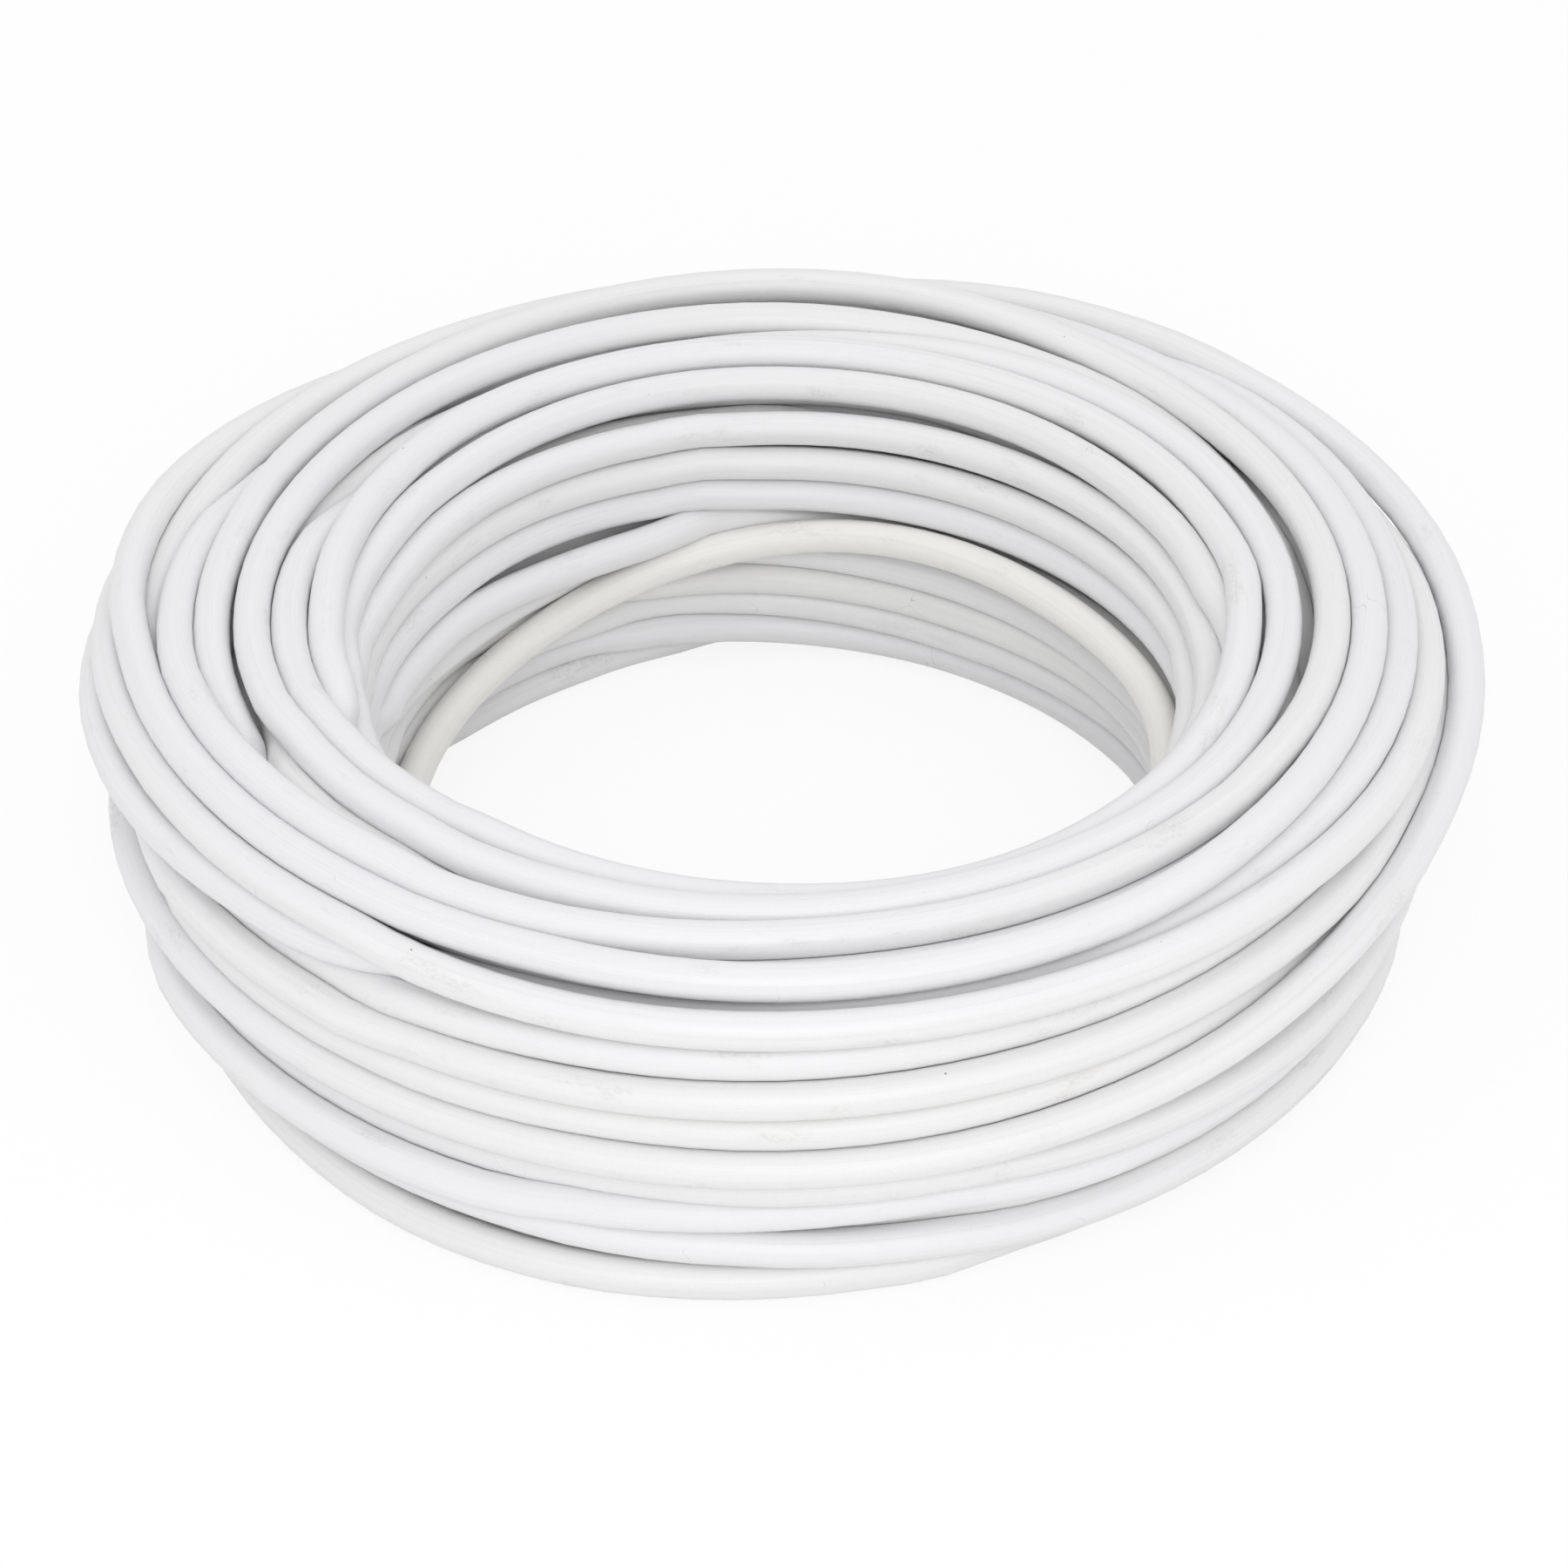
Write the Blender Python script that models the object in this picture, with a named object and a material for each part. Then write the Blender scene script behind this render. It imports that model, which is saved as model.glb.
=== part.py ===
"""A ring of white three-core flexible cable, about forty-seven metres long.

The cable lies in one heavy coil with an open eye. Its buried turns are one plain
ring, the turns that show are one unbroken tube wound over that ring, and a free
stretch leads from each end of the winding to a flush-cut cable end, where the
three insulated cores and their copper conductors lie in the sheath.
Metres, +Z up, with the origin at the middle of the coil's underside.
"""

import math

import bmesh
import bpy
import numpy as np
from mathutils import Matrix, Vector

# The cable
CORD_DIAMETER = 0.0082
CORE_BORE_DIAMETER = 0.0029
CORE_WALL = 0.00045
CORE_SPACING = 0.0033  # between the axes of two cores
SEAT_CLEARANCE = 0.0002  # round each core in its bore, and each conductor in its core
CUT_END_DEPTH = 0.013  # how deep the cut ends are modelled inside

# The coil's section
EYE_RADIUS = 0.0918  # at the foot of the eye's wall
EYE_FLARE = 0.0016  # added to it at the top
PILE_WIDTH_FOOT = 0.0490
PILE_WIDTH_TOP = 0.0633
COIL_HEIGHT = 0.0803
SHOULDER_DROP = 0.0016  # how much lower the outer shoulder is than the eye's edge
CORNER_RADIUS = 0.0092

# The winding
TURN_GAP = 0.0007  # between neighbouring turns of the layer that shows
LOOP_POINTS = 24
LAYER_START_AZIMUTH = 285.0
LAYER_END_AZIMUTH = 180.0
EYE_END_LIFT = 0.0024  # of the layer's first point, off the wall of the eye
OUTER_END_LIFT = 0.0006  # of its last point, off the outer wall
LAYER_CLEARANCE = 0.0005  # between the layer and the ring of buried turns
FLOOR_CLEARANCE = 0.0004  # under the free stretches
JOINT_GAP = 0.0003  # between the faces of two stretches of the cable
STRETCH_SPACING = 0.019  # between the points of a free stretch
CURVE_STEPS = 24  # points of a smooth curve between two of a route's own
FOOT_ARC_ANGLE = 46.0  # degrees that the layer follows the section's feet in underneath

# How finely the round shapes are cut
LAYER_BEVEL_STEPS = 1  # bevel resolution, which makes the layer's tube six-sided
STRETCH_BEVEL_STEPS = 2  # and that of the free stretches, eight-sided
CORE_SIDES = 16
CONDUCTOR_SIDES = 12

# The foot of the ring of buried turns, inside the first and last turn of the layer
FOOT_INSET = 0.0013
FOOT_HEIGHT = 0.0070
FOOT_SHOULDER = 0.0100

# Free stretches: azimuth in degrees, then in cord diameters the distance of the
# cord's middle from the wall that it lies against, and the height of its middle.
INNER_ROUTE = [
    (300, 0.40, 0.62),
    (314, 0.66, 1.10),
    (328, 0.80, 2.40),
    (344, 0.80, 3.90),
    (360, 0.75, 5.00),
    (380, 0.65, 5.35),
    (400, 0.62, 5.15),
    (420, 0.60, 5.10),
    (435, 0.60, 5.10),
    (450, 0.60, 4.80),
    (465, 0.66, 4.25),
    (480, 0.62, 3.60),
    (498, 0.62, 2.95),
    (516, 0.66, 2.35),
    (534, 0.75, 1.60),
    (552, 0.95, 0.85),
    (568, 1.10, 0.58),
    (584, 1.20, 0.58),
]
OUTER_ROUTE = [
    (168, 0.10, 0.56),
    (155, 0.25, 0.56),
    (140, 0.30, 0.56),
    (124, 0.30, 0.56),
    (108, 0.20, 0.56),
]

SHEATH_COLOUR = (0.86, 0.86, 0.87)
COPPER_COLOUR = (0.72, 0.34, 0.18)
CORE_COLOURS = {
    "line": (0.16, 0.06, 0.03),
    "neutral": (0.05, 0.19, 0.55),
    "earth": (0.20, 0.42, 0.06),
}


def material(name, colour, roughness, metallic=0.0):
    """A Principled material, made once for each name."""
    if name in bpy.data.materials:
        return bpy.data.materials[name]
    made = bpy.data.materials.new(name)
    made.use_nodes = True
    shader = made.node_tree.nodes["Principled BSDF"]
    shader.inputs["Base Color"].default_value = (*colour, 1.0)
    shader.inputs["Roughness"].default_value = roughness
    shader.inputs["Metallic"].default_value = metallic
    return made


def place(name, data, surface, coil):
    """Links a new object for one piece under the coil's empty."""
    piece = bpy.data.objects.new(name, data)
    piece.data.materials.append(surface)
    piece.parent = coil
    bpy.context.scene.collection.objects.link(piece)
    return piece


def corner_centres():
    """(radius, height) of the section's corner centres: up the eye, over, and down."""
    inner_foot = EYE_RADIUS + CORNER_RADIUS
    shoulder_height = COIL_HEIGHT - SHOULDER_DROP - CORNER_RADIUS
    return [
        Vector((inner_foot, CORNER_RADIUS)),
        Vector((inner_foot + EYE_FLARE, COIL_HEIGHT - CORNER_RADIUS)),
        Vector((EYE_RADIUS + PILE_WIDTH_TOP - CORNER_RADIUS, shoulder_height)),
        Vector((EYE_RADIUS + PILE_WIDTH_FOOT - CORNER_RADIUS, CORNER_RADIUS)),
    ]


def side_normals(centres):
    """The outward normal of each of the section's three sides."""
    sides = [(end - start).normalized() for start, end in zip(centres, centres[1:])]
    return [Vector((-side.y, side.x)) for side in sides]


def turned(direction, degrees):
    """The direction turned anticlockwise in the section's plane."""
    return Matrix.Rotation(math.radians(degrees), 2) @ direction


def section_path(depth, foot_arc=0.0, arc_steps=16):
    """Points (radius, height) from foot to foot, this far under the coil's surface."""
    centres = corner_centres()
    normals = side_normals(centres)
    normals = [turned(normals[0], foot_arc), *normals, turned(normals[2], -foot_arc)]
    reach = CORNER_RADIUS - depth
    path = []
    for centre, before, after in zip(centres, normals, normals[1:]):
        for step in range(arc_steps + 1):
            path.append(centre + reach * before.slerp(after, step / arc_steps))
    return np.array([point[:] for point in path])


def distances_along(points):
    """How far along a line of points each of them lies."""
    steps = np.linalg.norm(np.diff(points, axis=0), axis=1)
    return np.concatenate([[0.0], np.cumsum(steps)])


def on_circle(azimuth, radius, height):
    """The point at this azimuth in degrees."""
    angle = math.radians(azimuth)
    return Vector((radius * math.cos(angle), radius * math.sin(angle), height))


def turn_positions(path, along):
    """How far along the section the layer lies at each of its steps.

    Each turn lies a cord and a gap from the turn before, measured straight across,
    so that turns don't crowd each other where the section bends.
    """
    pitch = CORD_DIAMETER + TURN_GAP
    fine = np.linspace(0.0, along[-1], 4000)
    radii = np.interp(fine, along, path[:, 0])
    heights = np.interp(fine, along, path[:, 1])
    positions = [pitch * step / LOOP_POINTS for step in range(LOOP_POINTS)]
    while True:
        before = positions[-LOOP_POINTS]
        across = np.hypot(
            radii - np.interp(before, fine, radii), heights - np.interp(before, fine, heights)
        )
        clear = (fine > before) & (across >= pitch)
        if not clear.any():
            return positions
        positions.append(float(fine[clear][0]))


def layer_points():
    """The middle line of the turns that show, a steady spiral over the section."""
    path = section_path(CORD_DIAMETER / 2, FOOT_ARC_ANGLE)
    along = distances_along(path)
    positions = turn_positions(path, along)
    part_turn = round((LAYER_START_AZIMUTH - LAYER_END_AZIMUTH) * LOOP_POINTS / 360.0)
    spare = (len(positions) - 1 - part_turn) % LOOP_POINTS
    steps = len(positions) - 1 - spare
    points = []
    for step in range(steps + 1):
        radius = np.interp(positions[step], along, path[:, 0])
        height = np.interp(positions[step], along, path[:, 1])
        if step == 0:
            radius -= EYE_END_LIFT
        elif step == steps:
            radius += OUTER_END_LIFT
        azimuth = LAYER_START_AZIMUTH - step * 360.0 / LOOP_POINTS
        points.append(on_circle(azimuth, radius, height))
    return points


def wall_radius(side, height):
    """The radius of the eye's wall (side -1) or the outer wall (side 1) at a height."""
    path = section_path(0.0)
    half = len(path) // 2
    wall = path[:half] if side < 0 else path[half:][::-1]
    return float(np.interp(height, wall[:, 1], wall[:, 0]))


def route_points(route, side):
    """The points of a free stretch's route, off the wall on this side."""
    points = []
    for azimuth, off_wall, height in route:
        middle = height * CORD_DIAMETER + (FLOOR_CLEARANCE if height < 1 else 0.0)
        radius = wall_radius(side, middle) + side * off_wall * CORD_DIAMETER
        points.append(on_circle(azimuth, radius, middle))
    return points


def smooth_line(points):
    """A centripetal Catmull-Rom curve through the points, finely sampled."""
    first = 2 * points[0] - points[1]
    last = 2 * points[-1] - points[-2]
    padded = [first, *points, last]
    line = [points[0]]
    for a, b, c, d in zip(padded, padded[1:], padded[2:], padded[3:]):
        t1 = (b - a).length ** 0.5
        t2 = t1 + (c - b).length ** 0.5
        t3 = t2 + (d - c).length ** 0.5
        for step in range(1, CURVE_STEPS + 1):
            t = t1 + (t2 - t1) * step / CURVE_STEPS
            ab = a.lerp(b, t / t1)
            bc = b.lerp(c, (t - t1) / (t2 - t1))
            cd = c.lerp(d, (t - t2) / (t3 - t2))
            abc = ab.lerp(bc, t / t2)
            bcd = bc.lerp(cd, (t - t1) / (t3 - t1))
            line.append(abc.lerp(bcd, (t - t1) / (t2 - t1)))
    return line


def evenly_spaced(line, spacing):
    """The same line, with its points about this far apart."""
    fine = np.array([point[:] for point in line])
    along = distances_along(fine)
    count = max(2, round(along[-1] / spacing))
    wanted = np.linspace(0.0, along[-1], count + 1)
    columns = [np.interp(wanted, along, fine[:, axis]) for axis in range(3)]
    return [Vector(point) for point in zip(*columns)]


def stretch_points(end, neighbour, route, side):
    """A free stretch from the winding's end to its straight, flush-cut cable end."""
    away = (end - neighbour).normalized()
    start = end + away * JOINT_GAP
    straight = start + away * CORD_DIAMETER
    stations = route_points(route, side)
    line = smooth_line([start, straight, *stations])
    heading = (stations[-1] - stations[-2]).normalized()
    cut_face = stations[-1] + heading * (CUT_END_DEPTH + CORD_DIAMETER / 2)
    curved = evenly_spaced(line[CURVE_STEPS:], STRETCH_SPACING)
    return [start, *curved, cut_face]


def least_distance(points, others, skip=0):
    """The least distance from points to the segments between others.

    With skip, both are one line, and segments that near along it are left out.
    """
    places = np.array([point[:] for point in points])
    ends = np.array([point[:] for point in others])
    starts, sides = ends[:-1], np.diff(ends, axis=0)
    from_start = places[:, None, :] - starts[None, :, :]
    share = np.einsum("ijk,jk->ij", from_start, sides) / np.einsum("jk,jk->j", sides, sides)
    nearest = starts + np.clip(share, 0.0, 1.0)[..., None] * sides
    distances = np.linalg.norm(places[:, None, :] - nearest, axis=2)
    if skip:
        rows, columns = np.indices(distances.shape)
        distances[np.abs(rows - columns) < skip] = np.inf
    return float(distances.min())


def tube(name, points, bevel_resolution, surface, coil):
    """A round tube of the cord's diameter along a line of points."""
    curve = bpy.data.curves.new(name, "CURVE")
    curve.dimensions = "3D"
    curve.bevel_depth = CORD_DIAMETER / 2
    curve.bevel_resolution = bevel_resolution
    curve.use_fill_caps = True
    spline = curve.splines.new("POLY")
    spline.points.add(len(points) - 1)
    for slot, point in zip(spline.points, points):
        slot.co = (*point, 1.0)
    return place(name, curve, surface, coil)


def sheath_with_bores(name, points, surface, coil):
    """A free stretch of sheath, with the three core bores cut into its end."""
    guide = tube(name + "_line", points, STRETCH_BEVEL_STEPS, surface, coil)
    graph = bpy.context.evaluated_depsgraph_get()
    mesh = bpy.data.meshes.new_from_object(guide.evaluated_get(graph))
    bpy.data.objects.remove(guide)
    shape = bmesh.new()
    shape.from_mesh(mesh)
    bmesh.ops.remove_doubles(shape, verts=shape.verts, dist=1e-6)
    shape.to_mesh(mesh)
    shape.free()
    mesh.materials.clear()
    sheath = place(name, mesh, surface, coil)
    for number, matrix in enumerate(core_places(points)):
        cutter = place(f"{name}_bore_{number}", bore_mesh(), surface, coil)
        cutter.matrix_local = matrix
        cutter.hide_render = True
        cutter.display_type = "WIRE"
        cut = sheath.modifiers.new(f"bore_{number}", "BOOLEAN")
        cut.operation = "DIFFERENCE"
        cut.solver = "EXACT"
        cut.object = cutter
    return sheath


def core_places(points):
    """Where the three cores start: on the cut face, pointing back into the cable."""
    inward = (points[-2] - points[-1]).normalized()
    frame = inward.to_track_quat("Z", "Y").to_matrix().to_4x4()
    spread = CORE_SPACING / math.sqrt(3)
    places = []
    for number in range(3):
        offset = on_circle(90.0 + 120.0 * number, spread, 0.0)
        places.append(Matrix.Translation(points[-1]) @ frame @ Matrix.Translation(offset))
    return places


def prism(radius, length, sides, bore=0.0, start=0.0):
    """A round bar along +Z, with a bore right through it if one is given."""
    mesh = bpy.data.meshes.new("round_bar")
    shape = bmesh.new()
    rings = []
    for ring_radius in [radius, bore] if bore else [radius]:
        for height in (start, start + length):
            circle = [on_circle(360.0 * side / sides, ring_radius, height) for side in range(sides)]
            rings.append([shape.verts.new(point) for point in circle])
    low, high = rings[:2]
    for side in range(sides):
        after = (side + 1) % sides
        shape.faces.new([low[side], low[after], high[after], high[side]])
        if bore:
            bore_low, bore_high = rings[2:]
            shape.faces.new([bore_low[after], bore_low[side], bore_high[side], bore_high[after]])
            shape.faces.new([low[after], low[side], bore_low[side], bore_low[after]])
            shape.faces.new([high[side], high[after], bore_high[after], bore_high[side]])
    if not bore:
        shape.faces.new(low[::-1])
        shape.faces.new(high)
    shape.to_mesh(mesh)
    shape.free()
    mesh.shade_smooth()
    mesh.set_sharp_from_angle(angle=math.radians(40.0))
    return mesh


def bore_mesh():
    """The cutter of one core's bore, which starts just outside the cut face."""
    length = CUT_END_DEPTH + CORD_DIAMETER
    return prism(CORE_BORE_DIAMETER / 2, length, CORE_SIDES, start=-CORD_DIAMETER)


def add_cut_end(end_name, points, coil):
    """The three insulated cores of one cable end, each round its copper conductor."""
    core_radius = CORE_BORE_DIAMETER / 2 - SEAT_CLEARANCE
    conductor_radius = core_radius - CORE_WALL - SEAT_CLEARANCE
    length = CUT_END_DEPTH - SEAT_CLEARANCE
    copper = material("copper", COPPER_COLOUR, 0.35, 1.0)
    for (role, colour), matrix in zip(CORE_COLOURS.items(), core_places(points)):
        insulation = material(f"{role}_insulation", colour, 0.45)
        sleeve = prism(core_radius, length, CORE_SIDES, bore=core_radius - CORE_WALL)
        core = place(f"{end_name}_{role}_core", sleeve, insulation, coil)
        core.matrix_local = matrix
        bar = prism(conductor_radius, length, CONDUCTOR_SIDES)
        conductor = place(f"{end_name}_{role}_conductor", bar, copper, coil)
        conductor.matrix_local = matrix


def buried_profile():
    """The section of the ring of buried turns, with its flat underside at height 0."""
    centres = corner_centres()
    normals = side_normals(centres)
    reach = CORNER_RADIUS - CORD_DIAMETER - LAYER_CLEARANCE
    bends = []
    for centre, before, after in zip(centres[1:3], normals, normals[1:]):
        bends.append(centre + reach * (before + after) / (1 + before.dot(after)))
    feet = []
    for centre, normal, side in ((centres[0], normals[0], -1), (centres[3], normals[2], 1)):
        wall = centre + reach * normal
        foot = centre.x - side * FOOT_INSET
        feet.append([Vector((wall.x, FOOT_SHOULDER)), Vector((foot, FOOT_HEIGHT)), Vector((foot, 0.0))])
    return [*feet[0][::-1], *bends, *feet[1]]


def add_buried_turns(surface, coil):
    """The plain ring that stands for every turn under the layer that shows."""
    mesh = bpy.data.meshes.new("buried_turns")
    shape = bmesh.new()
    profile = buried_profile()
    rings = []
    for step in range(LOOP_POINTS):
        azimuth = LAYER_START_AZIMUTH + step * 360.0 / LOOP_POINTS
        ring = [shape.verts.new(on_circle(azimuth, point.x, point.y)) for point in profile]
        rings.append(ring)
    for step, ring in enumerate(rings):
        following = rings[(step + 1) % LOOP_POINTS]
        for corner in range(len(profile)):
            after = (corner + 1) % len(profile)
            shape.faces.new([ring[corner], following[corner], following[after], ring[after]])
    bmesh.ops.recalc_face_normals(shape, faces=shape.faces)
    shape.to_mesh(mesh)
    shape.free()
    mesh.shade_smooth()
    mesh.set_sharp_from_angle(angle=math.radians(30.0))
    return place("buried_turns", mesh, surface, coil)


def centre_on_origin(coil):
    """Moves the coil so that the middle of its plan lies on the origin."""
    bpy.context.view_layer.update()
    graph = bpy.context.evaluated_depsgraph_get()
    corners = []
    for piece in coil.children:
        shown = piece.evaluated_get(graph)
        if not piece.hide_render:
            corners += [shown.matrix_world @ Vector(corner) for corner in shown.bound_box]
    for axis in (0, 1):
        values = [corner[axis] for corner in corners]
        coil.location[axis] = -(min(values) + max(values)) / 2


def main():
    for old in list(bpy.data.objects):
        bpy.data.objects.remove(old)
    coil = bpy.data.objects.new("coil", None)
    bpy.context.scene.collection.objects.link(coil)
    sheath = material("white_sheath", SHEATH_COLOUR, 0.38)

    add_buried_turns(sheath, coil)
    layer = layer_points()
    tube("outer_turns", layer, LAYER_BEVEL_STEPS, sheath, coil)
    inner = stretch_points(layer[0], layer[1], INNER_ROUTE, -1)
    outer = stretch_points(layer[-1], layer[-2], OUTER_ROUTE, 1)
    for name, points in (("inner", inner), ("outer", outer)):
        sheath_with_bores(f"{name}_stretch", points, sheath, coil)
        add_cut_end(f"{name}_end", points, coil)
    centre_on_origin(coil)

    gap = least_distance(layer, layer, LOOP_POINTS // 2) - CORD_DIAMETER
    print(f"outer_turns: {(len(layer) - 1) / LOOP_POINTS:.2f} turns")
    print(f"outer_turns: least gap to itself {1000 * gap:.2f} mm")
    for name, points in (("inner_stretch", inner), ("outer_stretch", outer)):
        length = distances_along(np.array([point[:] for point in points]))[-1]
        fine = evenly_spaced(points[3:], CORD_DIAMETER / 4)
        gap = least_distance(fine, layer) - CORD_DIAMETER
        print(f"{name}: {1000 * length:.0f} mm, least gap to the turns {1000 * gap:.2f} mm")


main()
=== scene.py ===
"""A ring of white three-core flexible cable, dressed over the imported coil.

The cable is wound as one unbroken length: its turns are laid by a plan of where
each one shows, and settled against each other as the real turns press together.
Metres, +Z up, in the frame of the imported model.
"""

import math

import bmesh
import bpy
import numpy as np
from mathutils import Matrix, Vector


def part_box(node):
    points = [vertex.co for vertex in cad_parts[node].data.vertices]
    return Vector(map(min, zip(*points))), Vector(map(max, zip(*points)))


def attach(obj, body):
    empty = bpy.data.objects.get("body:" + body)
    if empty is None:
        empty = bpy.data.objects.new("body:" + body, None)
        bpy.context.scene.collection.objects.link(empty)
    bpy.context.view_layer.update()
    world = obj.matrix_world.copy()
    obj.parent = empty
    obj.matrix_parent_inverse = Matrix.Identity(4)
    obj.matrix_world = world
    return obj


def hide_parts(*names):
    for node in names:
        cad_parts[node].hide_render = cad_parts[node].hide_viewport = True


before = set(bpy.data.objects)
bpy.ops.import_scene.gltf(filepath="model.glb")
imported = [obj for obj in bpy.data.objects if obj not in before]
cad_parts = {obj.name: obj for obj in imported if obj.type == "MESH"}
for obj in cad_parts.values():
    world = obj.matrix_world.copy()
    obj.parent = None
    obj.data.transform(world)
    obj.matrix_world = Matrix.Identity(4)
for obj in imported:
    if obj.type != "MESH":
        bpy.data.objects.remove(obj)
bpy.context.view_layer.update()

# ---------------------------------------------------------------------------
# The winding. The real ring is one unbroken length of round flexible cable, run off
# the machine round a drum and slipped off it. Nothing ties it: the turns keep their
# places by the cable's own stiffness and by the friction between them.

# Azimuth goes round the coil, 270 at the front and 0 at the right, and the cable
# runs with falling azimuth. Radii are from the coil's axis and heights from the
# floor, both in cable diameters. A number of turns counts from the first azimuth.
STATIONS = 96  # points of the middle line in one turn
FIRST_AZIMUTH = 285.0  # where the cable reaches the foot of the eye's wall

# The stretch that lies across the eye, from the wall's foot to the cable's first end
ACROSS_THE_EYE = [
    (300, 10.8, 0.67), (314, 10.54, 1.1), (328, 10.5, 2.4), (344, 10.6, 3.9), (358, 10.8, 4.8),
    (371, 10.92, 4.97), (378, 10.76, 5.0), (386, 10.58, 5.05), (394, 10.4, 5.12),
    (402, 10.37, 5.15), (411, 10.5, 5.13), (420, 10.72, 5.07), (430, 10.88, 5.0),
    (440, 10.98, 4.93), (448, 10.88, 4.83), (456, 10.76, 4.57), (464, 10.75, 4.27),
    (476, 10.85, 3.8), (486, 10.76, 3.37), (499, 10.73, 2.9), (512, 10.74, 2.5), (522, 10.82, 2.15),
    (534, 10.75, 1.6), (552, 10.4, 0.9), (568, 10.1, 0.63), (584, 10.0, 0.63),
]
# The floor stretch behind the coil, to the other end
BEHIND_THE_COIL = [
    (168, 17.24, 0.61), (155, 17.39, 0.61), (140, 17.44, 0.61), (124, 17.44, 0.61),
    (108, 17.34, 0.61),
]

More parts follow.
